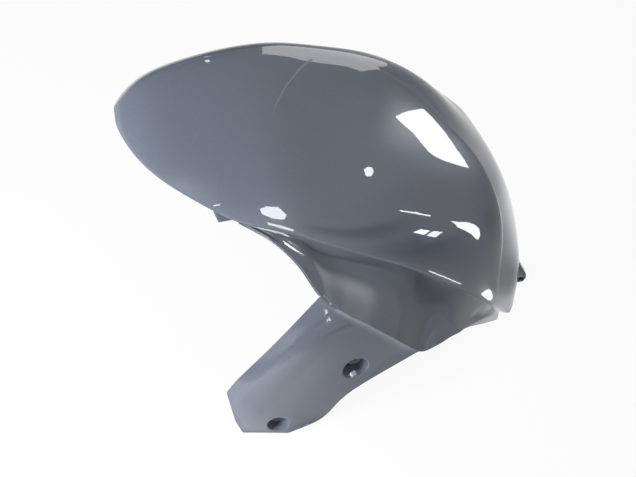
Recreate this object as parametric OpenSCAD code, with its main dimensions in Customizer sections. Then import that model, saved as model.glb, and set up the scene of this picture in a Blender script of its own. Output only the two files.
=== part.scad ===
// Front mudguard of a sport motorcycle, moulded in one piece with its two fork arms.
// It stands on the table as it was photographed: +X to the rear, +Y to the right-hand side, +Z up.
// The left half is drawn once, as named curves, and the right half is its mirror image.

/* [Overall size] */
// Length from the nose to the tail, without the rear lug
body_length = 357; // [320:1:400]
// Height of the crown's top above the table
body_height = 324; // [290:1:360]
// Distance between the outer faces of the arms, where they are widest
arm_spread = 284; // [260:1:310]
// Widest part of the crown, at its lower crease
crown_width = 172; // [150:1:190]

/* [Moulding] */
// Wall thickness of the shell
wall = 3; // [2.4:0.1:3.6]
// Thickness of the shell at its free edges
edge_wall = 2; // [1.6:0.1:2.4]
// How far the crown's lower edge stands out over the wing
crease_step = 2.2; // [1:0.1:3]
// How far the wing between the crown and the arm is hollowed
wing_hollow = 5; // [0:0.5:8]
// How far the outer face of each arm is dished
arm_dish = 2.5; // [0:0.5:4]
// How far the bevel along the front of each arm stands out
arm_bevel = 2; // [0:0.5:3]

/* [Bolt recesses] */
// Diameter of the clearance hole for each fork bolt
bolt_hole_d = 6.6; // [5.5:0.1:8.5]
// Diameter of the flat seat at the bottom of each recess
seat_d = 13; // [11:0.5:14]
// Diameter of the upper recess where it opens on the arm
upper_mouth_d = 23; // [20:0.5:25]
// Depth of the upper recess, from the arm's outer face to its seat
upper_depth = 12; // [9:0.5:15]
// Diameter of the lower recess where it opens on the arm
lower_mouth_d = 19; // [16:0.5:20]
// Depth of the lower recess, from the arm's outer face to its seat
lower_depth = 10; // [8:0.5:12]
// Thickness of the seat that the bolt head clamps
seat_wall = 4; // [3:0.5:5]
// Wall around each recess, inside the arm
recess_wall = 2.5; // [2:0.1:2.8]

/* [Rear lug] */
// Thickness of the lug from side to side
lug_width = 8; // [6:0.5:12]
// Diameter of the hole through the lug
lug_hole_d = 4.5; // [4:0.1:5]
// How far the middle of the hole stands behind the tail
lug_reach = 3.2; // [3.2:0.1:5]
// Material around the hole
lug_wall = 2.6; // [2.4:0.1:3.5]
// Height of the hole above the table
lug_height = 25; // [20:1:28]
// Height of the gusset over the hole
gusset_height = 26; // [20:1:30]

/* [Hidden] */
shell_colour = "#6c717d";
circle_steps = 48;

// The spine of the crown, from the nose to the tip of the tail, as [x, half width, z]
spine = [[-172, 0, 274], [-153, 0, 294], [-127, 0, 309], [-99, 0, 318], [-70, 0, 323], [-42, 0, 324],
    [-18, 0, 320], [7, 0, 314], [33, 0, 306], [62, 0, 292], [92, 0, 266], [120, 0, 228], [149, 0, 184],
    [170, 0, 135], [182, 0, 79], [186, 0, 44], [186, 0, 22], [185, 0, 4]];
// The crest beside the spine, a soft ridge in front that widens into the tail's shoulder
crest = [[-171.5, 2, 273], [-153, 2, 294], [-128, 2, 308], [-99, 2.5, 317], [-71, 3, 322], [-42, 3.5, 323],
    [-18, 4, 319], [6, 5, 313], [32, 6, 305], [59, 10, 289], [88, 15, 262], [111, 23, 234], [134, 31, 203],
    [151, 38, 158], [157, 42, 112], [156, 45, 58], [164, 37, 29], [177, 22, 1.2]];
// The crown's lower edge and the crease that carries it on over the wing
crease = [[-171, 13, 264], [-160, 38, 256], [-139, 58, 242], [-109, 72, 225], [-78, 82, 208],
    [-55, 85, 203], [-32, 86, 193], [-7, 86, 179], [22, 85, 163], [48, 82, 147], [70, 78, 131],
    [93, 72, 109], [111, 66, 91], [127, 60, 74], [140, 53, 56], [151, 47, 40], [158, 39, 25], [165, 28, 9]];
// The lower edge of the wing, and between the arm's two corners the hip line over the arm
wing_start = 4;
wing_edge = [[-76, 83, 207], [-52, 91, 193], [-31, 100, 171], [-13, 110, 140], [5, 116, 124],
    [27, 119, 108], [49, 119, 89], [73, 114, 60], [89, 105, 59], [103, 94, 56], [114, 84, 50],
    [123, 74, 44], [145, 54, 24], [162, 34, 5]];
// Across the arm: its middle, its widest part and its foot, from the front edge to the rear edge
arm_start = 7;
arm_end = 11;
arm_middle = [[-54, 122, 100], [-35, 131, 97], [-20, 134, 85], [-5, 134, 64], [11, 128, 36]];
arm_wide = [[-87, 132, 69], [-78, 139, 46], [-68, 142, 31], [-40, 140, 22], [-15, 132, 8]];
arm_foot = [[-98, 134, 55], [-92, 136, 20], [-86, 135, 0], [-48, 140, 0], [-33, 138, 5]];

// The drawn size of the curves above, so that the driving sizes can scale them
drawn_length = 357;
drawn_height = 324;
drawn_arm_half = 142;
drawn_crown_half = 86;

// The grid that the skin is worked out on: columns from nose to tail, rows from the spine outwards
column_steps = 4;
wing_steps = [0.05, 0.3, 0.55, 0.8, 1];
crest_rows = 3;
crown_rows = 12;
wing_rows = len(wing_steps);
arm_rows = 10;
last_station = len(spine) - 1;
columns = last_station * column_steps;
wing_first = wing_start * column_steps;
arm_first = arm_start * column_steps;
arm_last = arm_end * column_steps;
crease_row = crown_rows;
wing_row = crown_rows + wing_rows;
foot_row = wing_row + arm_rows;
rows = 2 * foot_row + 1;

// A smooth curve through the points p, read at t, where whole numbers are the points themselves
function pick(p, i) = p[max(0, min(len(p) - 1, i))];
function curve(p, t) =
    let (i = max(0, min(len(p) - 2, floor(t))), f = t - i,
         a = pick(p, i - 1), b = pick(p, i), c = pick(p, i + 1), d = pick(p, i + 2))
    b + f * (c - a) / 2 + f * f * (2 * a - 5 * b + 4 * c - d) / 2 + f * f * f * (3 * b - a - 3 * c + d) / 2;
// Straight runs between the points p, which keep the corners of the arm's foot crisp
function runs(p, t) = let (i = max(0, min(len(p) - 2, floor(t)))) p[i] + (t - i) * (p[i + 1] - p[i]);
function blend(a, b, f) = a + (b - a) * f;
function ease(f) = let (g = max(0, min(1, f))) g * g * (3 - 2 * g);

// From the spine the crown falls gently to the crest, and from there it is rounded down to the crease
function fullness(t) = blend(1.25, 1.45, ease((t - 7) / 5));
function crown_point(t, w) =
    let (s = curve(spine, t), h = curve(crest, t), k = curve(crease, t), n = fullness(t),
         crest_at = crest_rows / crown_rows, f = w / crest_at,
         g = (w - crest_at) / (1 - crest_at),
         out = pow(sin(90 * g), 2 / n), down = 1 - pow(cos(90 * g), 2 / n))
    w <= crest_at ? [blend(s[0], h[0], f * f), h[1] * f, blend(s[2], h[2], f * f)]
    : [blend(h[0], k[0], down), blend(h[1], k[1], out), blend(h[2], k[2], down)];

// The wing leaves the crease and is hollowed on its way to its edge
function wing_point(t, w) =
    let (k = curve(crease, t), e = curve(wing_edge, t - wing_start), size = norm(e - k),
         hollow = wing_hollow * min(1, size / 40) * sin(180 * w))
    blend(k, e, w) - [0, hollow, hollow / 2];

// The arm runs from the hip line through its middle and its widest part to its foot
bevel_at = 0.5;
bevel_end = 2;
function arm_point(t, w) =
    let (u = t - arm_start, hip = curve(wing_edge, t - wing_start),
         lines = [hip, curve(arm_middle, u), curve(arm_wide, u), runs(arm_foot, u)],
         across = u / (arm_end - arm_start), dish = arm_dish * sin(180 * w) * sin(180 * across),
         rise = min(u / bevel_at, max(0, (bevel_end - u) / (bevel_end - bevel_at))),
         bevel = arm_bevel * rise * min(1, 3 * w))
    curve(lines, 3 * w) + [0, bevel - dish, 0];

// The drawn skin at column c and row r, on the side that the sign of r gives
function drawn(c, a) =
    let (t = c / column_steps)
    a <= crease_row ? crown_point(t, a / crown_rows)
    : a <= wing_row ? wing_point(t, wing_steps[a - crease_row - 1])
    : arm_point(t, (a - wing_row) / arm_rows);
// Widths up to the crease follow the crown's width, and beyond it they go over to the arms' spread
function width(y) =
    y <= drawn_crown_half ? y * crown_width / (2 * drawn_crown_half)
    : crown_width / 2 + (y - drawn_crown_half) * (arm_spread - crown_width) / 2
        / (drawn_arm_half - drawn_crown_half);
function skin(c, r) =
    let (p = drawn(c, abs(r)))
    [p[0] * body_length / drawn_length, sign(r) * width(p[1]), p[2] * body_height / drawn_height];

// Is there skin at this column and row?
function has_skin(c, a) =
    a <= crease_row || (a <= wing_row && c >= wing_first) || (c >= arm_first && c <= arm_last);
function unit(v) = v / norm(v);
function slope_normal(c, r) =
    let (a = abs(r), s = r < 0 ? -1 : 1,
         c0 = c > 0 && has_skin(c - 1, a) ? c - 1 : c,
         c1 = c < columns && has_skin(c + 1, a) ? c + 1 : c,
         r0 = a == 0 ? r - 1 : r - s,
         r1 = a == 0 ? r + 1 : a < foot_row && has_skin(c, a + 1) ? r + s : r)
    unit(cross(skin(c1, r) - skin(c0, r), (s < 0 && a > 0 ? -1 : 1) * (skin(c, r1) - skin(c, r0))));
// At the arm's edges the skin's direction is taken one step further in, where it is well defined
function normal(c, r) =
    abs(r) <= wing_row ? slope_normal(c, r)
    : slope_normal(max(arm_first + 1, min(arm_last - 1, c)), sign(r) * min(foot_row - 1, abs(r)));

function outer_point(c, r) =
    let (a = abs(r))
    a > crease_row && a < wing_row && c > wing_first ?
        skin(c, r) - normal(c, r) * crease_step * (1 - wing_steps[a - crease_row - 1]) : skin(c, r);
function on_edge(c, a) =
    !(has_skin(c - 1, a) && has_skin(c + 1, a) && has_skin(c, a + 1)) || c == 0 || c == columns || a == foot_row;
function inner_point(c, r) = skin(c, r) - normal(c, r) * (on_edge(c, abs(r)) ? edge_wall : wall);

// Place of a grid point in the list of points, first the outer skin and then the inner one
function at(c, r) = c * rows + r + foot_row;
inner_from = (columns + 1) * rows;

// Each cell of the grid is two triangles outside and the same two, turned over, inside
function cell(c, r) = [at(c, r), at(c, r + 1), at(c + 1, r + 1), at(c + 1, r)];
function cell_has_skin(c, r) =
    let (a = max(abs(r), abs(r + 1)))
    a <= crease_row || (a <= wing_row && c >= wing_first) || (c >= arm_first && c < arm_last);
function halves(q) = [[q[0], q[1], q[2]], [q[0], q[2], q[3]]];
function turned(q) = [q[0], q[3], q[2], q[1]];
cells = [for (c = [0:columns - 1], r = [-foot_row:foot_row - 1]) if (cell_has_skin(c, r)) cell(c, r)];

// The free edge of the shell, all the way round
side_edge = concat(
    [for (c = [0:wing_first]) [c, crease_row]],
    [for (a = [crease_row + 1:wing_row]) [wing_first, a]],
    [for (c = [wing_first + 1:arm_first]) [c, wing_row]],
    [for (a = [wing_row + 1:foot_row]) [arm_first, a]],
    [for (c = [arm_first + 1:arm_last]) [c, foot_row]],
    [for (a = [foot_row - 1:-1:wing_row]) [arm_last, a]],
    [for (c = [arm_last + 1:columns]) [c, wing_row]],
    [for (a = [wing_row - 1:-1:crease_row]) [columns, a]]);
edge = concat(
    [for (r = [-crease_row + 1:crease_row - 1]) [0, r]],
    side_edge,
    [for (r = [crease_row - 1:-1:-crease_row + 1]) [columns, r]],
    [for (i = [len(side_edge) - 1:-1:0]) [side_edge[i][0], -side_edge[i][1]]]);
rim = [for (i = [0:len(edge) - 1])
    let (p = edge[i], q = edge[(i + 1) % len(edge)], a = at(p[0], p[1]), b = at(q[0], q[1]))
    [a, b, b + inner_from, a + inner_from]];

module shell() {
    grid = [for (c = [0:columns], r = [-foot_row:foot_row]) [c, r]];
    used = [for (g = grid) has_skin(g[0], abs(g[1]))];
    spare = skin(0, 0);
    polyhedron(
        points = concat(
            [for (i = [0:len(grid) - 1]) used[i] ? outer_point(grid[i][0], grid[i][1]) : spare],
            [for (i = [0:len(grid) - 1]) used[i] ? inner_point(grid[i][0], grid[i][1]) : spare]),
        faces = concat(
            [for (q = cells) each halves(q)],
            [for (q = cells) each halves([for (k = turned(q)) k + inner_from])],
            [for (q = rim) each halves(turned(q))]));
}

// A spot on an arm, as its station along the body and how far down the arm it lies
upper_spot = [10.3, 0.25];
lower_spot = [9.7, 0.8];
function scaled(p) =
    [p[0] * body_length / drawn_length, width(p[1]), p[2] * body_height / drawn_height];
function spot_point(spot) = scaled(arm_point(spot[0], spot[1]));
spot_step = 0.08;
function spot_normal(spot) =
    let (along = scaled(arm_point(spot[0] + 2 * spot_step, spot[1]))
             - scaled(arm_point(spot[0] - 2 * spot_step, spot[1])),
         down = scaled(arm_point(spot[0], spot[1] + spot_step))
             - scaled(arm_point(spot[0], spot[1] - spot_step)))
    unit(cross(along, down));

// Puts its children at a spot of the right arm, with +Z along the bolt, out of the arm
module at_spot(spot) {
    translate(spot_point(spot)) rotate([-90, 0, 0]) children();
}

// The cup behind the arm that carries the bolt's seat, cut off inside the arm's wall
module recess_cup(spot, mouth_d, depth) {
    n = spot_normal(spot);
    reach = mouth_d;
    intersection() {
        at_spot(spot) translate([0, 0, -depth - seat_wall]) {
            cylinder(h = seat_wall, d = seat_d + 2 * recess_wall, $fn = circle_steps);
            translate([0, 0, seat_wall])
                cylinder(h = depth, d1 = seat_d + 2 * recess_wall, d2 = mouth_d + 2 * recess_wall,
                    $fn = circle_steps);
        }
        translate(spot_point(spot) - n * wall / 2)
            rotate([0, acos(n[2]), atan2(n[1], n[0])])
                translate([-reach, -reach, -2 * reach]) cube([2 * reach, 2 * reach, 2 * reach]);
        translate([-body_length / 2, 0, 0]) cube([body_length, arm_spread, body_height]);
    }
}

// The tapered recess itself, with the hole for the bolt through its seat
module recess_cut(spot, mouth_d, depth) {
    out = 8;
    flare = (mouth_d - seat_d) / depth * out;
    at_spot(spot) {
        translate([0, 0, -depth])
            cylinder(h = depth + out, d1 = seat_d, d2 = mouth_d + flare, $fn = circle_steps);
        translate([0, 0, -depth - 2 * seat_wall])
            cylinder(h = depth, d = bolt_hole_d, $fn = circle_steps);
    }
}

module both_sides() {
    children();
    mirror([0, 1, 0]) children();
}

// The small lug at the back of the tail, with its hole from side to side
tail_x = 186 * body_length / drawn_length;
module lug() {
    hole_x = tail_x + lug_reach;
    ring = lug_hole_d / 2 + lug_wall;
    root = tail_x - wall / 2;
    rotate([90, 0, 0]) linear_extrude(lug_width, center = true) difference() {
        union() {
            translate([hole_x, lug_height]) circle(ring, $fn = circle_steps);
            polygon([[root, lug_height - ring], [hole_x, lug_height - ring],
                [hole_x + ring, lug_height], [hole_x + ring, lug_height + ring],
                [root - wall / 3, lug_height + gusset_height], [root, lug_height]]);
        }
        translate([hole_x, lug_height]) circle(d = lug_hole_d, $fn = circle_steps);
    }
}

// The part's own middle, halfway between the nose and the lug
nose_x = spine[0][0] * body_length / drawn_length;
lug_end = tail_x + lug_reach + lug_hole_d / 2 + lug_wall;
middle_x = (nose_x + lug_end) / 2;

module front_mudguard() {
    color(shell_colour) translate([-middle_x, 0, 0]) difference() {
        union() {
            shell();
            both_sides() {
                recess_cup(upper_spot, upper_mouth_d, upper_depth);
                recess_cup(lower_spot, lower_mouth_d, lower_depth);
            }
            lug();
        }
        both_sides() {
            recess_cut(upper_spot, upper_mouth_d, upper_depth);
            recess_cut(lower_spot, lower_mouth_d, lower_depth);
        }
    }
}

front_mudguard();
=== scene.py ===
"""Front mudguard of a sport motorcycle, moulded in one piece, in the pose and light of its photo.

The shell is drawn from nearly the same named curves as the CAD part, at a finer step and with small
roundings. Lengths are in millimetres until a mesh is made. x runs from the nose to the tail, y out
to the side and z up.
"""

import math

import bmesh
import bpy
import numpy as np
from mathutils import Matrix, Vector


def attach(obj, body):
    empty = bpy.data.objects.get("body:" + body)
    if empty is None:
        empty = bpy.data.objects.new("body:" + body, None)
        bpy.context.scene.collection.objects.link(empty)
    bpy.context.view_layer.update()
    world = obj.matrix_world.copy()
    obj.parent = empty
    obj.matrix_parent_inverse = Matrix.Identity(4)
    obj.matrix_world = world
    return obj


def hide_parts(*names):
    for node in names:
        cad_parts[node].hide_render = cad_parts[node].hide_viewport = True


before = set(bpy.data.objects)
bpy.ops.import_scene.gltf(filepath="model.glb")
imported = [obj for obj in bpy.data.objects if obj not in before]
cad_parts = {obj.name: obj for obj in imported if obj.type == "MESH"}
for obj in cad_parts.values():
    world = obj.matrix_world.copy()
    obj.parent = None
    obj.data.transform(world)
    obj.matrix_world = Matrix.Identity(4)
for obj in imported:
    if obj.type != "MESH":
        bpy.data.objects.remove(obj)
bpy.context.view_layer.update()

# Curves of the half on the +y side, point by point from the nose to the tail
SPINE = [(-171.6, 0, 271.5), (-153, 0, 294), (-127, 0, 309), (-99, 0, 318), (-70, 0, 323),
         (-42, 0, 324), (-18, 0, 320), (7, 0, 314), (33, 0, 306), (62, 0, 292), (92, 0, 266),
         (120, 0, 228), (149, 0, 184), (170, 0, 135), (182, 0, 79), (186, 0, 44), (186, 0, 22),
         (185, 0, 4)]
CREST = [(-171.4, 2, 270.9), (-153, 2, 294), (-128, 2, 308), (-99, 2.5, 317), (-71, 3, 322),
         (-42, 3.5, 323), (-18, 4, 319), (6, 5, 313), (32, 6, 305), (59, 10, 289), (88, 15, 262),
         (111, 23, 234), (134, 31, 203), (151, 38, 158), (157, 42, 112), (156, 45, 58),
         (164, 37, 29), (177, 22, 1.2)]
CREASE = [(-171, 13, 264), (-160, 38, 256), (-139, 58, 242), (-109, 72, 225), (-78, 82, 208),
          (-55, 85, 203), (-32, 86, 193), (-7, 86, 179), (22, 85, 163), (48, 82, 147),
          (70, 78, 131), (93, 72, 109), (111, 66, 91), (127, 60, 74), (140, 53, 56),
          (151, 47, 40), (158, 39, 25), (165, 28, 9)]
WING_EDGE = [(-77.8, 82.1, 207.8), (-52, 91, 193), (-31, 100, 171), (-13, 110, 140),
             (5, 116, 124), (27, 119, 108), (49, 119, 88), (72, 113, 63), (89, 105, 59.5),
             (103, 94, 56), (114, 84, 50), (123, 74, 44), (145, 54, 24), (162, 34, 5)]
ARM_MIDDLE = [(-54, 122, 100), (-35, 131, 97), (-20, 134, 85), (-5, 134, 64), (11, 128, 36)]
ARM_WIDE = [(-87, 132, 69), (-78, 139, 46), (-68, 142, 31), (-40, 140, 22), (-15, 132, 8)]
ARM_FOOT = [(-98, 134, 55), (-92, 136, 20), (-86, 135, 0), (-48, 140, 0), (-33, 138, 5)]
# Stations count the crease's points from 0: the last one, where the wing begins, and where the
# front and the rear edge of the arm leave the wing
LAST = len(SPINE) - 1
WING_START = 4
ARM_START = 7
ARM_END = 11
ARM_SPAN = ARM_END - ARM_START

WALL = 3.0
EDGE_WALL = 2.0
EDGE_HOLLOW = 0.9
CREASE_STEP = 2.2
STEP_REACH = 2.2
WING_HOLLOW = 5.0
ARM_DISH = 2.5
ARM_BEVEL = 2.0
ARM_INSET = 1.6
# x of the frame's origin, and what keeps the finer shapes within the CAD part's box
MIDDLE_X = 11.025
FIT_X = 0.9993
ARM_FIT_Y = 0.9985
MM = 1000.0

# Beyond the wing's rear corner the skin folds in under the tail: what lies past a slanting plane
# there goes back onto it along one direction, and a step that way nears the plane by FOLD_NEARS
FOLD_START = 14.5
FOLD_AT = (123, 74, 44)
FOLD_PLANE = (0.669, 0.733, -0.118)
FOLD_WAY = (0.088, -0.70, -0.707)
FOLD_NEARS = 0.371

# The grid: columns along the curves, and rows over the crown, the wing and the arm
STEPS = 12
T = np.linspace(0, LAST, LAST * STEPS + 1)
COLUMNS = len(T)
WING_C0 = WING_START * STEPS
ARM_C0 = ARM_START * STEPS
ARM_C1 = ARM_END * STEPS
CREST_AT = 0.25
NEAR_SPINE = np.array([0, 0.14, 0.28, 0.42, 0.56, 0.68, 0.78, 0.86, 0.92, 0.96, 0.985, 1])
CROWN_W = np.concatenate([CREST_AT * NEAR_SPINE,
                          CREST_AT + (1 - CREST_AT) * np.linspace(0, 1, 41)[1:]])
STEP_D = np.array([0.3, 0.6, 0.9, 1.2, 1.5, 1.8, 2.1, 2.5, 3.0, 3.6])
WING_ROWS = 16
ARM_ROWS = 40
CROWN_LAST = len(CROWN_W) - 1
WING_LAST = CROWN_LAST + len(STEP_D) + WING_ROWS

SMOOTHING = 3000
END_HOLD = 1e6


def between(a, b, c, d, f):
    """Catmull-Rom blend that runs from b to c while f goes from 0 to 1."""
    return (b + f * (c - a) / 2 + f * f * (2 * a - 5 * b + 4 * c - d) / 2
            + f ** 3 * (3 * b - a - 3 * c + d) / 2)


def curve(points, t):
    """Catmull-Rom curve through the points, read at t, where whole numbers are the points."""
    p = np.array(points, float)
    n = len(p)
    t = np.atleast_1d(np.asarray(t, float))
    i = np.clip(np.floor(t).astype(int), 0, n - 2)
    a, b, c, d = (p[np.clip(i + k, 0, n - 1)] for k in (-1, 0, 1, 2))
    return between(a, b, c, d, (t - i)[:, None])


def smooth(values):
    """Takes short waves out of a densely read curve without flattening its long bends."""
    n = len(values)
    third = np.diff(np.eye(n), 3, axis=0)
    hold = np.eye(n)
    hold[0, 0] = hold[-1, -1] = END_HOLD
    return np.linalg.solve(hold + SMOOTHING * third.T @ third, hold @ values)


def ease(f):
    """0 up to f = 0, 1 from f = 1, with soft bends between."""
    g = np.clip(f, 0.0, 1.0)
    return g * g * (3 - 2 * g)


spine, crest, crease = (smooth(curve(points, T)) for points in (SPINE, CREST, CREASE))
spine[:, 1] = 0
wing_edge = curve(WING_EDGE, T - WING_START)


def crown_rows():
    """Rows from the spine over the crest and down to the crease, each over all the columns."""
    # From the crest down the section is part of a superellipse, fuller towards the tail
    power = (1.25 + 0.2 * ease((T - 7) / 5))[:, None]
    rows = []
    for w in CROWN_W:
        if w <= CREST_AT:
            f = w / CREST_AT
            row = spine + (crest - spine) * f * f
            row[:, 1] = crest[:, 1] * f
        else:
            turn = math.pi / 2 * (w - CREST_AT) / (1 - CREST_AT)
            out = math.sin(turn) ** (2 / power)
            down = 1 - max(0.0, math.cos(turn)) ** (2 / power)
            row = crest + (crease - crest) * down
            row[:, 1] = (crest + (crease - crest) * out)[:, 1]
        rows.append(row)
    return rows


def wing_at(w):
    """One row of the wing; w is 0 at the crease and 1 at the edge, with a value per column."""
    w = w[:, None]
    size = np.linalg.norm(wing_edge - crease, axis=1, keepdims=True)
    hollow = WING_HOLLOW * np.minimum(1, size / 40) * np.sin(np.pi * w)
    row = crease + (wing_edge - crease) * w - hollow * np.array([0, 1, 0.5])
    past = (row - np.array(FOLD_AT)) @ np.array(FOLD_PLANE)
    depth = np.clip(past, 0, None) / FOLD_NEARS * ease((T - FOLD_START) / 0.5)
    return row + depth[:, None] * np.array(FOLD_WAY)


def arm_at(t, w):
    """Points of the arm at the stations t and one height w, 0 at the hip and 1 at the foot."""
    t = np.atleast_1d(np.asarray(t, float))
    u = t - ARM_START
    hip = np.stack([np.interp(t, T, wing_edge[:, k]) for k in range(3)], 1)
    foot = np.array(ARM_FOOT, float)
    j = np.clip(np.floor(u).astype(int), 0, len(foot) - 2)
    foot = foot[j] + (u - j)[:, None] * (foot[j + 1] - foot[j])
    lines = [hip, curve(ARM_MIDDLE, u), curve(ARM_WIDE, u), foot]
    i = min(2, int(3 * w))
    a, b, c, d = (lines[max(0, min(3, i + k))] for k in (-1, 0, 1, 2))
    p = between(a, b, c, d, 3 * w - i)
    dish = ARM_DISH * math.sin(math.pi * w) * np.sin(np.pi * u / ARM_SPAN)
    # A low ridge beside the front edge, which makes the edge a chamfer
    rise = np.minimum(u / 0.6, np.maximum(0, (2 - u) / 1.4))
    bevel = ARM_BEVEL * rise * min(1, 3 * w)
    # Just below the hip the skin lies a little further in
    inner_part = ease((u - 0.5) / 0.3) * ease((ARM_SPAN - u) / 0.35)
    inset = ARM_INSET * inner_part * ease(w / 0.05) * (1 - ease((w - 0.15) / 0.45))
    p[:, 1] = (p[:, 1] + bevel - dish - inset) * ARM_FIT_Y
    return p


def all_rows():
    """Every row of the half, with the first and the last column that it has."""
    table = [(row, 0, COLUMNS - 1) for row in crown_rows()]
    size = np.maximum(np.linalg.norm(wing_edge - crease, axis=1), 1.0)[:, None]
    near = np.minimum(STEP_D, 0.45 * size * STEP_D / STEP_D[-1]) / size
    for k in range(len(STEP_D)):
        table.append((wing_at(near[:, k]), WING_C0, COLUMNS - 1))
    for k in range(1, WING_ROWS + 1):
        w = near[:, -1] + (1 - near[:, -1]) * k / WING_ROWS
        table.append((wing_at(w), WING_C0, COLUMNS - 1))
    for k in range(1, ARM_ROWS + 1):
        row = np.zeros((COLUMNS, 3))
        row[ARM_C0:ARM_C1 + 1] = arm_at(T[ARM_C0:ARM_C1 + 1], k / ARM_ROWS)
        table.append((row, ARM_C0, ARM_C1))
    return table


row_table = all_rows()
ROWS = len(row_table)
skin = np.stack([row for row, _, _ in row_table])
have = np.zeros((ROWS, COLUMNS), bool)
for r, (_, c0, c1) in enumerate(row_table):
    have[r, c0:c1 + 1] = True
# A cell of the grid is there when its four corners are
whole = have[:-1, :-1] & have[1:, :-1] & have[:-1, 1:] & have[1:, 1:]


def grid_normals(p):
    """Outward unit normals of the grid, from the cells around each point."""
    a, b, c, d = p[:-1, :-1], p[:-1, 1:], p[1:, 1:], p[1:, :-1]
    m = np.cross(c - a, d - b) * whole[:, :, None]
    n = np.zeros_like(p)
    n[:-1, :-1] += m
    n[:-1, 1:] += m
    n[1:, 1:] += m
    n[1:, :-1] += m
    n[0, :, 1] = 0
    n /= np.maximum(np.linalg.norm(n, axis=2, keepdims=True), 1e-9)
    halfway = CROWN_LAST // 2
    return -n if n[halfway, :, 1].sum() < 0 else n


# The wing is set back from the crown's lower edge by a rounded step that fades to its own edge
normals = grid_normals(skin)
outer = skin.copy()
along = ease(T - WING_START) * (1 - ease((T - 15.6) / 0.8))
for r in range(CROWN_LAST + 1, WING_LAST):
    k = r - CROWN_LAST - 1
    grow = ease(STEP_D[k] / STEP_REACH) if k < len(STEP_D) else 1.0
    fade = 1 - ease(((r - CROWN_LAST) / (WING_LAST - CROWN_LAST) - 0.35) / 0.65)
    outer[r] = skin[r] - normals[r] * (CREASE_STEP * grow * fade * along)[:, None]
normals = grid_normals(outer)
# At the arm's edges the skin's direction is taken further in, where it is well defined
arm_normals = normals[WING_LAST + 1:]
arm_normals[:, ARM_C0:ARM_C0 + 3] = arm_normals[:, ARM_C0 + 3, None]
arm_normals[:, ARM_C1 - 2:ARM_C1 + 1] = arm_normals[:, ARM_C1 - 3, None]
normals[-4:] = normals[-5]
inner = skin - normals * WALL

# Mesh of the half: every grid point on both skins, with recesses and a closed free edge
verts = []
faces = []


def add(points):
    """Adds the points to the mesh and returns their numbers."""
    start = len(verts)
    verts.extend([tuple(float(x) for x in p) for p in points])
    return list(range(start, start + len(points)))


def join_rings(a, b, flip):
    """Faces between two closed rings of points."""
    for i in range(len(a)):
        j = (i + 1) % len(a)
        face = (a[i], a[j], b[j], b[i])
        faces.append(face[::-1] if flip else face)


def join_rows(a, b):
    """Faces between two open rows of points."""
    for i in range(len(a) - 1):
        faces.append((a[i], b[i], b[i + 1], a[i + 1]))


outer_id = -np.ones((ROWS, COLUMNS), int)
inner_id = -np.ones((ROWS, COLUMNS), int)
for r, c in zip(*np.nonzero(have)):
    outer_id[r, c], inner_id[r, c] = add([outer[r, c], inner[r, c]])
cut_out = np.zeros((ROWS, COLUMNS), bool)

RECESSES = [
    {"spot": (10.3, 0.25), "mouth": 11.5, "seat": 6.5, "depth": 12.0},
    {"spot": (9.7, 0.8), "mouth": 9.5, "seat": 6.5, "depth": 10.0},
]
LIP = 1.0
BOLT_R = 3.3
SEAT_WALL = 4.0
CUP_WALL = 2.5


def spot(t, w):
    """One point of the arm, by its station and height."""
    return arm_at([t], w)[0]


def find(x, z, guess):
    """Station and height on the arm that show at this x and z, by Newton's method."""
    t, w = guess
    for _ in range(12):
        p = spot(t, w)
        a = (spot(t + 0.01, w) - p) / 0.01
        b = (spot(t, w + 0.005) - p) / 0.005
        step = np.linalg.solve(np.array([[a[0], b[0]], [a[2], b[2]]]),
                               np.array([x - p[0], z - p[2]]))
        t += float(np.clip(step[0], -0.3, 0.3))
        w += float(np.clip(step[1], -0.1, 0.1))
    return t, w


def block_loop(r0, r1, c0, c1):
    """Grid points round a block of cells, in order."""
    loop = [(r0, c) for c in range(c0, c1)]
    loop += [(r, c1) for r in range(r0, r1)]
    loop += [(r1, c) for c in range(c1, c0, -1)]
    loop += [(r, c0) for r in range(r1, r0, -1)]
    return loop


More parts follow.
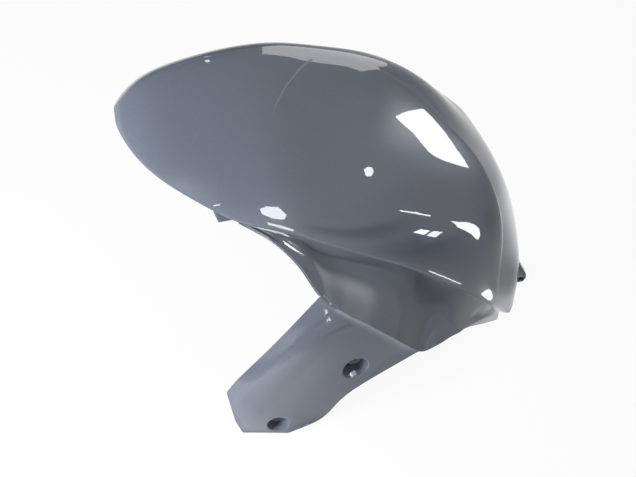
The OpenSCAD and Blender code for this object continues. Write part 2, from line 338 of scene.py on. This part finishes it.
def recess(place, mouth, seat, depth):
    """Takes a block of cells out of the arm and puts a recess there, with its seat and cup."""
    centre = spot(*place)
    seat_y = centre[1] - depth
    back_y = seat_y - SEAT_WALL
    cup = seat + CUP_WALL

    def on_arm(radius, angle):
        return find(centre[0] + radius * math.cos(angle),
                    centre[2] + radius * math.sin(angle), place)

    # The block of cells that covers the mouth
    around = [on_arm(mouth + 4.0, 2 * math.pi * k / 16) for k in range(16)]
    in_rows = [WING_LAST + w * ARM_ROWS for _, w in around]
    in_columns = [t * STEPS for t, _ in around]
    r0, r1 = max(WING_LAST, math.floor(min(in_rows))), min(ROWS - 1, math.ceil(max(in_rows)))
    c0, c1 = max(ARM_C0, math.floor(min(in_columns))), min(ARM_C1, math.ceil(max(in_columns)))
    cut_out[r0:r1, c0:c1] = True
    loop = block_loop(r0, r1, c0, c1)
    n = len(loop)

    # One spoke for each point round the block, spread more evenly than those points are
    edge = np.array([outer[r, c] for r, c in loop])
    angles = np.unwrap(np.arctan2(edge[:, 2] - centre[2], edge[:, 0] - centre[0]))
    even = angles[0] + np.sign(angles[-1] - angles[0]) * np.arange(n) * 2 * math.pi / n
    angles = 0.35 * angles + 0.65 * (even + (angles - even).mean())
    flip = angles[-1] > angles[0]
    last = [int(outer_id[r, c]) for r, c in loop]

    def next_ring(points):
        ring = add(points)
        join_rings(last, ring, flip)
        return ring

    def circle(radius, y):
        return [(centre[0] + radius * math.cos(a), y_here, centre[2] + radius * math.sin(a))
                for a, y_here in zip(angles, np.broadcast_to(y, (n,)))]

    # The arm's own skin, from the block's edge to the mouth's lip
    edge_tw = [(c / STEPS, (r - WING_LAST) / ARM_ROWS) for r, c in loop]
    mouth_tw = [on_arm(mouth + LIP, a) for a in angles]
    for k in range(1, 7):
        lip_points = [spot(t1 + (t2 - t1) * k / 6, w1 + (w2 - w1) * k / 6)
                      for (t1, w1), (t2, w2) in zip(edge_tw, mouth_tw)]
        last = next_ring(lip_points)
    lip_y = np.array(lip_points)[:, 1]

    # The rounded lip and the tapered wall
    for k in range(1, 5):
        a = math.pi / 2 * k / 4
        mouth_y = lip_y - LIP * (1 - math.cos(a)) * 1.2
        last = next_ring(circle(mouth + LIP * (1 - math.sin(a)), mouth_y))
    for k in range(1, 9):
        f = k / 8
        last = next_ring(circle(seat + 0.35 + (mouth - seat - 0.35) * (1 - f),
                                mouth_y + (seat_y + 1.0 - mouth_y) * f))
    # The seat, the bolt hole and the cup's back, with their edges eased
    for radius, y in [(seat - 0.05, seat_y + 0.45), (seat - 0.5, seat_y + 0.12),
                      (seat - 1.1, seat_y), (BOLT_R + 0.5, seat_y),
                      (BOLT_R + 0.15, seat_y - 0.12), (BOLT_R, seat_y - 0.5),
                      (BOLT_R, back_y + 0.4), (BOLT_R + 0.4, back_y),
                      (cup - 0.5, back_y), (cup, back_y + 0.5)]:
        last = next_ring(circle(radius, y))
    # The outside of the cup, up to the inner skin
    cup_y = back_y + 0.5
    inner_y = lip_y - WALL - 0.3
    for f in (0.5, 1.0):
        last = next_ring(circle(cup + (mouth + CUP_WALL - cup) * f, cup_y + (inner_y - cup_y) * f))
    join_rings(last, [int(inner_id[r, c]) for r, c in loop], flip)


for cfg in RECESSES:
    recess(cfg["spot"], cfg["mouth"], cfg["seat"], cfg["depth"])

for r, c in zip(*np.nonzero(whole & ~cut_out[:-1, :-1])):
    faces.append((outer_id[r, c], outer_id[r, c + 1], outer_id[r + 1, c + 1], outer_id[r + 1, c]))
    faces.append((inner_id[r, c], inner_id[r + 1, c], inner_id[r + 1, c + 1], inner_id[r, c + 1]))

# Free edge all the way round the half, from the spine at the nose to the spine at the tail
rim = [(r, 0) for r in range(0, CROWN_LAST)]
rim += [(CROWN_LAST, c) for c in range(0, WING_C0)]
rim += [(r, WING_C0) for r in range(CROWN_LAST, WING_LAST)]
rim += [(WING_LAST, c) for c in range(WING_C0, ARM_C0)]
rim += [(r, ARM_C0) for r in range(WING_LAST, ROWS - 1)]
rim += [(ROWS - 1, c) for c in range(ARM_C0, ARM_C1)]
rim += [(r, ARM_C1) for r in range(ROWS - 1, WING_LAST, -1)]
rim += [(WING_LAST, c) for c in range(ARM_C1, COLUMNS - 1)]
rim += [(r, COLUMNS - 1) for r in range(WING_LAST, -1, -1)]
rim_points = np.array([outer[r, c] for r, c in rim])
rim_normals = np.array([normals[r, c] for r, c in rim])
tangent = np.zeros_like(rim_points)
tangent[1:-1] = rim_points[2:] - rim_points[:-2]
tangent[0], tangent[-1] = rim_points[1] - rim_points[0], rim_points[-1] - rim_points[-2]
tangent /= np.maximum(np.linalg.norm(tangent, axis=1, keepdims=True), 1e-9)
inward = np.cross(tangent, rim_normals)
inward /= np.maximum(np.linalg.norm(inward, axis=1, keepdims=True), 1e-9)
# Both skins run on past the grid by EDGE_HOLLOW, and a half-round hollow as deep joins them
for k, (r, c) in enumerate(rim):
    o = np.array(verts[outer_id[r, c]]) - inward[k] * EDGE_HOLLOW
    i = o - rim_normals[k] * EDGE_WALL
    if r == 0:
        o[1] = i[1] = 0.0
    verts[outer_id[r, c]] = tuple(o)
    verts[inner_id[r, c]] = tuple(i)
last = [int(outer_id[r, c]) for r, c in rim]
for step in range(1, 6):
    a = math.pi * step / 6
    ring = []
    for k, (r, c) in enumerate(rim):
        o = np.array(verts[outer_id[r, c]])
        i = np.array(verts[inner_id[r, c]])
        p = (o + i) / 2 + (o - i) / 2 * math.cos(a) + inward[k] * EDGE_HOLLOW * math.sin(a)
        if r == 0:
            p[1] = 0.0
        ring.append(p)
    ring = add(ring)
    join_rows(last, ring)
    last = ring
join_rows(last, [int(inner_id[r, c]) for r, c in rim])


def in_scene(name, data):
    """Adds an object with this data to the scene."""
    o = bpy.data.objects.new(name, data)
    bpy.context.collection.objects.link(o)
    return o


def moulding(name, mesh_name, points, polygons):
    """Object with a clean mesh that is smooth but for its sharp edges."""
    mesh = bpy.data.meshes.new(mesh_name)
    mesh.from_pydata(points, [], polygons)
    mesh.validate()
    bm = bmesh.new()
    bm.from_mesh(mesh)
    bmesh.ops.delete(bm, geom=[v for v in bm.verts if not v.link_faces], context="VERTS")
    bmesh.ops.recalc_face_normals(bm, faces=bm.faces)
    bm.to_mesh(mesh)
    bm.free()
    for polygon in mesh.polygons:
        polygon.use_smooth = True
    mesh.set_sharp_from_angle(angle=math.radians(50))
    return in_scene(name, mesh)


# Both halves, welded on the spine
half = np.array(verts)
on_middle = np.abs(half[:, 1]) < 1e-6
mirror_of = np.arange(len(half)) + len(half)
mirror_of[on_middle] = np.nonzero(on_middle)[0]
both = np.concatenate([half, half * np.array([1, -1, 1])])
both[:, 2] = np.maximum(both[:, 2], 0.0)
both = (both - np.array([MIDDLE_X, 0, 0])) * np.array([FIT_X, 1, 1]) / MM
both_faces = [tuple(int(i) for i in f) for f in faces]
both_faces += [tuple(int(mirror_of[i]) for i in f[::-1]) for f in faces]
mudguard = moulding("mudguard_shell", "front_mudguard_looks", [tuple(p) for p in both], both_faces)

# Rear lug: a plate on the middle line with a cross hole
LUG = {"x": 189.2, "z": 25.0, "hole": 2.25, "ring": 4.83, "half": 4.0, "bevel": 0.9}
LUG_OUTLINE = [(183.2, LUG["z"] - LUG["ring"] - 1.0), (LUG["x"] - 1.0, LUG["z"] - LUG["ring"]),
               (LUG["x"] + LUG["ring"] * 0.55, LUG["z"] - LUG["ring"] * 0.85),
               (LUG["x"] + LUG["ring"], LUG["z"]),
               (LUG["x"] + LUG["ring"], LUG["z"] + LUG["ring"]),
               (184.0, LUG["z"] + 26.0), (183.2, LUG["z"] + 24.0)]


def lug_radius(angle):
    """Distance from the middle of the lug's hole to its outline."""
    dx, dz = math.cos(angle), math.sin(angle)
    nearest = 1e9
    for (x1, z1), (x2, z2) in zip(LUG_OUTLINE, LUG_OUTLINE[1:] + LUG_OUTLINE[:1]):
        ex, ez = x2 - x1, z2 - z1
        px, pz = x1 - LUG["x"], z1 - LUG["z"]
        across = dz * ex - dx * ez
        if abs(across) < 1e-9:
            continue
        out = (pz * ex - px * ez) / across
        f = (dx * pz - dz * px) / across
        if out > 0 and -1e-6 <= f <= 1 + 1e-6:
            nearest = min(nearest, out)
    return nearest


def make_lug(sides=96):
    """The lug as rings of points round its hole, from one face over the edge to the other."""
    angles = [2 * math.pi * k / sides for k in range(sides)]
    radii = np.array([lug_radius(a) for a in angles])
    radii = (np.roll(radii, 1) + 2 * radii + np.roll(radii, -1)) / 4
    hole, high, bevel = LUG["hole"], LUG["half"], LUG["bevel"]
    # Rings of one face, from the hole out over the rounded edge; the other face mirrors them
    profile = [(hole, high - 0.3), (hole + 0.3, high), (radii - bevel, high)]
    for k in (1, 2, 3):
        a = math.pi / 2 * k / 4
        profile.append((radii - bevel * (1 - math.sin(a)), high - bevel * (1 - math.cos(a))))
    profile.append((radii, high - bevel))
    profile += [(radius, -y) for radius, y in reversed(profile)]
    points = []
    for radius, y in profile:
        for a, rad in zip(angles, np.broadcast_to(radius, (sides,))):
            points.append(((LUG["x"] + rad * math.cos(a) - MIDDLE_X) / MM, y / MM,
                           (LUG["z"] + rad * math.sin(a)) / MM))
    polygons = []
    for k in range(len(profile)):
        p, q = k * sides, (k + 1) % len(profile) * sides
        for i in range(sides):
            j = (i + 1) % sides
            polygons.append((p + i, p + j, q + j, q + i))
    return moulding("rear_lug", "rear_lug", points, polygons)


lug = make_lug()


def node(nodes, kind, inputs=()):
    """New shader node with some of its inputs set, as pairs of name and value."""
    new = nodes.new("ShaderNode" + kind)
    for name, value in inputs:
        new.inputs[name].default_value = value
    return new


def empty_material(name):
    """New material without nodes, with its lists of nodes and of links."""
    m = bpy.data.materials.new(name)
    m.use_nodes = True
    m.node_tree.nodes.clear()
    return m, m.node_tree.nodes, m.node_tree.links


def blend(nodes, links, factor, first, second, out):
    """Mixes two shaders by the factor into the output's surface."""
    mix = nodes.new("ShaderNodeMixShader")
    links.new(factor, mix.inputs["Fac"])
    links.new(first, mix.inputs[1])
    links.new(second, mix.inputs[2])
    links.new(mix.outputs["Shader"], out.inputs["Surface"])


def gloss_grey():
    """Moulded grey plastic under a clear coat, with a very light orange peel in the coat."""
    m, nodes, links = empty_material("gloss_grey")
    out = node(nodes, "OutputMaterial")
    bsdf = node(nodes, "BsdfPrincipled", [("Metallic", 0.0), ("Specular IOR Level", 0.15),
                                          ("Coat Weight", 1.0), ("Coat Roughness", 0.02),
                                          ("Coat IOR", 1.5)])
    links.new(bsdf.outputs["BSDF"], out.inputs["Surface"])
    where = node(nodes, "TexCoord")
    flakes = node(nodes, "TexNoise", [("Scale", 900.0), ("Detail", 2.0)])
    haze = node(nodes, "TexNoise", [("Scale", 14.0), ("Detail", 4.0)])
    peel = node(nodes, "TexNoise", [("Scale", 260.0), ("Detail", 1.0)])
    for noise in (flakes, haze, peel):
        links.new(where.outputs["Object"], noise.inputs["Vector"])
    tone = node(nodes, "ValToRGB")
    tone.color_ramp.elements[0].position = 0.3
    tone.color_ramp.elements[0].color = (0.103, 0.117, 0.151, 1)
    tone.color_ramp.elements[1].position = 0.7
    tone.color_ramp.elements[1].color = (0.115, 0.130, 0.166, 1)
    links.new(flakes.outputs["Fac"], tone.inputs["Fac"])
    links.new(tone.outputs["Color"], bsdf.inputs["Base Color"])
    rough = node(nodes, "MapRange", [("To Min", 0.42), ("To Max", 0.5)])
    links.new(haze.outputs["Fac"], rough.inputs["Value"])
    links.new(rough.outputs["Result"], bsdf.inputs["Roughness"])
    bump = node(nodes, "Bump", [("Strength", 0.02), ("Distance", 0.0005)])
    links.new(peel.outputs["Fac"], bump.inputs["Height"])
    links.new(bump.outputs["Normal"], bsdf.inputs["Coat Normal"])
    return m


paint = gloss_grey()
for piece in (mudguard, lug):
    piece.data.materials.append(paint)
    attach(piece, "root")
    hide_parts("front_mudguard")


def seen_directly(nodes, links):
    """1 for what the camera, the gloss or a see-through surface shows, else 0."""
    path = node(nodes, "LightPath")
    either = path.outputs["Is Camera Ray"]
    for name in ("Is Glossy Ray", "Is Transmission Ray"):
        most = node(nodes, "Math")
        most.operation = "MAXIMUM"
        links.new(either, most.inputs[0])
        links.new(path.outputs[name], most.inputs[1])
        either = most.outputs["Value"]
    return either


def white_floor():
    """What is seen of the floor is nearly all its own white, and the rest keeps a faint shadow."""
    m, nodes, links = empty_material("white_floor")
    out = node(nodes, "OutputMaterial")
    glow = node(nodes, "Emission", [("Color", (1, 1, 1, 1)), ("Strength", 1.03)])
    plain = node(nodes, "BsdfDiffuse")
    direct = seen_directly(nodes, links)
    tone = node(nodes, "MapRange", [("To Min", 0.3), ("To Max", 0.9)])
    links.new(direct, tone.inputs["Value"])
    links.new(tone.outputs["Result"], plain.inputs["Color"])
    share = node(nodes, "MapRange", [("To Max", 0.9)])
    links.new(direct, share.inputs["Value"])
    blend(nodes, links, share.outputs["Result"], plain.outputs["BSDF"],
          glow.outputs["Emission"], out)
    return m


FLOOR_HALF = 6
FLOOR_BELOW = 0.0015
floor_mesh = bpy.data.meshes.new("floor")
floor_mesh.from_pydata([(-FLOOR_HALF, -FLOOR_HALF, 0), (FLOOR_HALF, -FLOOR_HALF, 0),
                        (FLOOR_HALF, FLOOR_HALF, 0), (-FLOOR_HALF, FLOOR_HALF, 0)],
                       [], [(0, 1, 2, 3)])
floor_mesh.materials.append(white_floor())
floor = in_scene("floor", floor_mesh)
floor.location = (0, 0, -FLOOR_BELOW)


def studio_world():
    """White for the camera; a weak light on the paint; a plain dim room for the gloss."""
    world = bpy.data.worlds.new("studio")
    world.use_nodes = True
    nodes, links = world.node_tree.nodes, world.node_tree.links
    nodes.clear()
    out = node(nodes, "OutputWorld")
    white = node(nodes, "Background", [("Color", (1, 1, 1, 1)), ("Strength", 1.0)])
    dim = node(nodes, "Background", [("Color", (0.9, 0.94, 1.0, 1))])
    where = node(nodes, "TexCoord")
    split = node(nodes, "SeparateXYZ")
    links.new(where.outputs["Generated"], split.inputs["Vector"])

    def glow_along(axis, start, end, low, high):
        """Strength of the room's light along one of its axes."""
        ramp = node(nodes, "MapRange", [("From Min", start), ("From Max", end),
                                        ("To Min", low), ("To Max", high)])
        ramp.interpolation_type = "SMOOTHSTEP"
        links.new(split.outputs[axis], ramp.inputs["Value"])
        return ramp.outputs["Result"]

    path = node(nodes, "LightPath")
    room = node(nodes, "MapRange")
    links.new(path.outputs["Is Glossy Ray"], room.inputs["Value"])
    links.new(glow_along("Z", 0.1, 0.9, 0.16, 0.3), room.inputs["To Min"])
    links.new(glow_along("X", -1.0, 1.0, 0.3, 1.3), room.inputs["To Max"])
    links.new(room.outputs["Result"], dim.inputs["Strength"])
    blend(nodes, links, path.outputs["Is Camera Ray"], dim.outputs["Background"],
          white.outputs["Background"], out)
    return world


bpy.context.scene.world = studio_world()


def aim(o, place, target, front="-Z"):
    """Puts the object at its place and turns its front to the target."""
    o.location = place
    o.rotation_euler = (Vector(target) - Vector(place)).to_track_quat(front, "Y").to_euler()


lamp_data = bpy.data.lights.new("lamp_left", "AREA")
lamp_data.shape = "RECTANGLE"
lamp_data.size = lamp_data.size_y = 0.4
lamp_data.energy = 21.5
lamp_data.color = (1.0, 0.99, 0.98)
lamp = in_scene("lamp_left", lamp_data)
lamp.visible_glossy = False
aim(lamp, (-0.98, -0.56, 0.26), (0, 0, 0.12))

# Painted highlights: flat glowing cards that only the gloss sees, most of them set a few
# centimetres or less off the surface and shaped so that their mirror images fall where the
# highlights should be;
# each as its strength and its corners in metres
HIGHLIGHT_CARDS = {
    # Painted highlight: a card close to the crown whose mirror image is a window-shaped patch of
    # light
    "window_highlight": (22.0, [
        (0.1457, -0.1352, 0.3103), (0.164, -0.119, 0.3116), (0.1846, -0.0971, 0.3103),
        (0.2101, -0.0584, 0.3057), (0.2196, -0.0629, 0.2903), (0.2253, -0.0782, 0.2751),
        (0.2263, -0.0936, 0.2633), (0.2253, -0.111, 0.2471), (0.2276, -0.1212, 0.2283),
        (0.2307, -0.1277, 0.2047), (0.2116, -0.1385, 0.2153), (0.2016, -0.1382, 0.2241),
        (0.1951, -0.138, 0.2321), (0.1882, -0.1382, 0.242), (0.1827, -0.1364, 0.2543),
        (0.1775, -0.1344, 0.2667), (0.1723, -0.1329, 0.2771), (0.1661, -0.1335, 0.2852),
        (0.1557, -0.1352, 0.2971)]),
    "spot": (20.0, [
        (0.0984, -0.188, 0.2434), (0.0977, -0.1894, 0.2391), (0.0956, -0.1906, 0.2376),
        (0.0929, -0.1915, 0.2378), (0.0901, -0.1918, 0.24), (0.0881, -0.1915, 0.2432),
        (0.0872, -0.1906, 0.2473), (0.0879, -0.1892, 0.2514), (0.0898, -0.188, 0.2527),
        (0.0929, -0.187, 0.2522), (0.0959, -0.1867, 0.25), (0.0979, -0.1871, 0.2467)]),
    "streak": (18.0, [
        (0.1042, -0.1478, 0.176), (0.1242, -0.1394, 0.1648), (0.1428, -0.1305, 0.1502),
        (0.1419, -0.1309, 0.1488), (0.1225, -0.1405, 0.1628), (0.1048, -0.1478, 0.1741)]),
    "tile_a": (20.0, [
        (0.1075, -0.129, 0.1417), (0.1169, -0.124, 0.142), (0.1274, -0.1188, 0.1346),
        (0.1207, -0.1222, 0.1317)]),
    "tile_b": (18.0, [
        (0.1226, -0.1212, 0.1298), (0.1308, -0.1172, 0.1322), (0.1394, -0.1138, 0.1255),
        (0.1324, -0.1166, 0.1218)]),
    "curl": (18.0, [
        (0.1471, -0.1112, 0.1369), (0.154, -0.109, 0.1315), (0.1632, -0.1046, 0.1253),
        (0.17, -0.1007, 0.1192), (0.1758, -0.0965, 0.1095), (0.177, -0.0953, 0.0992),
        (0.1736, -0.0967, 0.0932), (0.1707, -0.099, 0.0971), (0.1658, -0.1025, 0.1066),
        (0.1595, -0.1063, 0.1155), (0.1528, -0.1094, 0.1237), (0.1508, -0.1103, 0.1299)]),
    "left_a": (17.0, [
        (-0.0707, -0.1297, 0.2197), (-0.0621, -0.1288, 0.2225), (-0.0537, -0.1286, 0.2209),
        (-0.0455, -0.1278, 0.2198), (-0.04, -0.1286, 0.2134), (-0.0356, -0.1293, 0.2076),
        (-0.0402, -0.131, 0.2014), (-0.0529, -0.1321, 0.2034), (-0.0607, -0.1319, 0.2078),
        (-0.0687, -0.1313, 0.2127)]),
    "left_b": (15.0, [
        (-0.0645, -0.1085, 0.2019), (-0.0566, -0.1085, 0.1993), (-0.0477, -0.1085, 0.1952),
        (-0.0385, -0.1083, 0.1896), (-0.0404, -0.1083, 0.1864), (-0.05, -0.1083, 0.1902),
        (-0.0573, -0.1086, 0.1951), (-0.0644, -0.1085, 0.1978)]),
    "overhead": (6.2, [
        (0.0489, -0.5066, 1.8372), (0.5107, -0.6328, 1.685), (0.7026, -0.7908, 1.513),
        (0.8885, -0.8185, 1.3758), (1.1501, -0.3964, 1.3745), (1.2928, 0.0637, 1.2885),
        (1.15, 0.96, 0.93), (0.75, 1.2, 1.09), (0.32, 1.0, 1.54), (0.0688, 0.4665, 1.8484)]),
    "crease_line": (12.0, [
        (0.0801, -0.0806, 0.1146), (0.096, -0.0753, 0.0995), (0.1121, -0.0692, 0.0823),
        (0.1123, -0.069, 0.0807), (0.0959, -0.0752, 0.0978), (0.08, -0.0806, 0.1131)]),
    "hip_streak": (11.0, [
        (-0.0232, -0.1342, 0.13), (-0.0199, -0.1342, 0.1297), (-0.0136, -0.134, 0.1199),
        (-0.0171, -0.1372, 0.121), (-0.0168, -0.1366, 0.1179), (-0.0197, -0.1356, 0.1259)]),
    "hip_dot": (7.0, [
        (-0.009, -0.1283, 0.1402), (-0.0046, -0.1249, 0.142), (-0.0084, -0.1299, 0.1384),
        (-0.0141, -0.1322, 0.1348)]),
    # Painted highlight: a thin glowing line whose mirror image is a fine bright streak on the crown
    "wire_highlight": (2.2, [
        (0.0438, -0.0718, 0.4343), (0.0315, -0.0984, 0.42), (0.0146, -0.1223, 0.4038),
        (-0.0074, -0.1438, 0.3869), (-0.03, -0.1623, 0.3688), (-0.0314, -0.1622, 0.3693),
        (-0.011, -0.1436, 0.3885), (0.0133, -0.1213, 0.4052), (0.0307, -0.0966, 0.4217),
        (0.0438, -0.0659, 0.4372)]),
    "glint": (14.0, [
        (-0.1164, -0.1037, 0.2197), (-0.1129, -0.1041, 0.2222), (-0.1085, -0.1046, 0.2235),
        (-0.1092, -0.105, 0.2216), (-0.1136, -0.1044, 0.2192), (-0.1164, -0.1038, 0.2175)]),
    "corner": (13.0, [
        (0.1342, -0.0572, 0.0549), (0.1394, -0.0551, 0.0569), (0.1427, -0.0535, 0.057),
        (0.1458, -0.0514, 0.0507), (0.1477, -0.0492, 0.0414), (0.145, -0.0507, 0.0385),
        (0.1395, -0.0543, 0.0457)]),
    "ceiling_dot": (14.0, [
        (-0.5793, -0.0397, 1.6344), (-0.542, -0.136, 1.6405), (-0.5241, -0.3345, 1.6108),
        (-0.5641, -0.2805, 1.6103)]),
}
# Soft pools of light or dark, each as its place, what it faces, half width, half height, strength
# and whether it lights the paint too
GLOWS = {
    "front_floor": ((-0.18, -0.36, 0.004), (-0.18, -0.36, 1.0), 0.28, 0.32, 2.9, True),
    "wing_side": ((0.77, -0.66, 0.49), (0.03, -0.1, 0.15), 0.42, 0.24, 3.8, False),
    "shoulder": ((-0.22, -0.34, 0.24), (-0.05, -0.12, 0.11), 0.12, 0.12, 2.0, False),
    "under_tail": ((0.165, -0.04, 0.0035), (0.165, -0.04, 1.0), 0.04, 0.03, 1.6, False),
    "behind_tail": ((0.32, 0.09, 0.004), (0.32, 0.09, 1.0), 0.16, 0.16, 1.6, False),
    "dark_side": ((0.29, -0.30, 0.003), (0.29, -0.30, 1.0), 0.24, 0.25, 0.0, False),
    "dark_front": ((0.38, -0.80, 0.003), (0.38, -0.80, 1.0), 0.26, 0.55, 0.0, False),
    "dark_tail": ((0.215, 0.0, 0.003), (0.215, 0.0, 1.0), 0.05, 0.06, 0.5, False),
}
DISC_SIDES = 48


def emitter(name, strength, soft):
    """Bright material, which fades out from the object's middle if it is soft."""
    m, nodes, links = empty_material(name)
    out = node(nodes, "OutputMaterial")
    glow = node(nodes, "Emission", [("Color", (0.97, 0.98, 1.0, 1)), ("Strength", strength)])
    if not soft:
        links.new(glow.outputs["Emission"], out.inputs["Surface"])
        return m
    where = node(nodes, "TexCoord")
    ball = node(nodes, "TexGradient")
    ball.gradient_type = "SPHERICAL"
    links.new(where.outputs["Object"], ball.inputs["Vector"])
    fade = node(nodes, "MapRange")
    fade.interpolation_type = "SMOOTHSTEP"
    links.new(ball.outputs["Fac"], fade.inputs["Value"])
    clear = node(nodes, "BsdfTransparent")
    blend(nodes, links, fade.outputs["Result"], clear.outputs["BSDF"],
          glow.outputs["Emission"], out)
    return m


def light_piece(name, around, middle, strength, soft=False, lights_paint=False):
    """Flat bright piece of the stage that the camera doesn't see, as a fan round its middle."""
    n = len(around)
    m = bpy.data.meshes.new(name)
    m.from_pydata(around + [middle], [], [(n, k, (k + 1) % n) for k in range(n)])
    m.materials.append(emitter(name, strength, soft))
    o = in_scene(name, m)
    o.visible_camera = False
    o.visible_diffuse = lights_paint
    o.visible_shadow = False
    return o


for name, (strength, corners) in HIGHLIGHT_CARDS.items():
    light_piece(name, corners, tuple(sum(c[k] for c in corners) / len(corners) for k in range(3)),
                strength)
disc = [(math.cos(2 * math.pi * k / DISC_SIDES), math.sin(2 * math.pi * k / DISC_SIDES), 0)
        for k in range(DISC_SIDES)]
for name, (place, faces_to, half_w, half_h, strength, lights_paint) in GLOWS.items():
    pool = light_piece(name, disc, (0, 0, 0), strength, True, lights_paint)
    pool.scale = (half_w, half_h, 1)
    aim(pool, place, faces_to, "Z")

camera_data = bpy.data.cameras.new("camera")
camera_data.sensor_width = 36.0
camera_data.lens = 94.03
camera = in_scene("camera", camera_data)
aim(camera, (-0.14587, -1.0524, 1.1593), (-0.0140, 0.0, 0.09866))
bpy.context.scene.camera = camera
bpy.context.scene.view_settings.view_transform = "Standard"
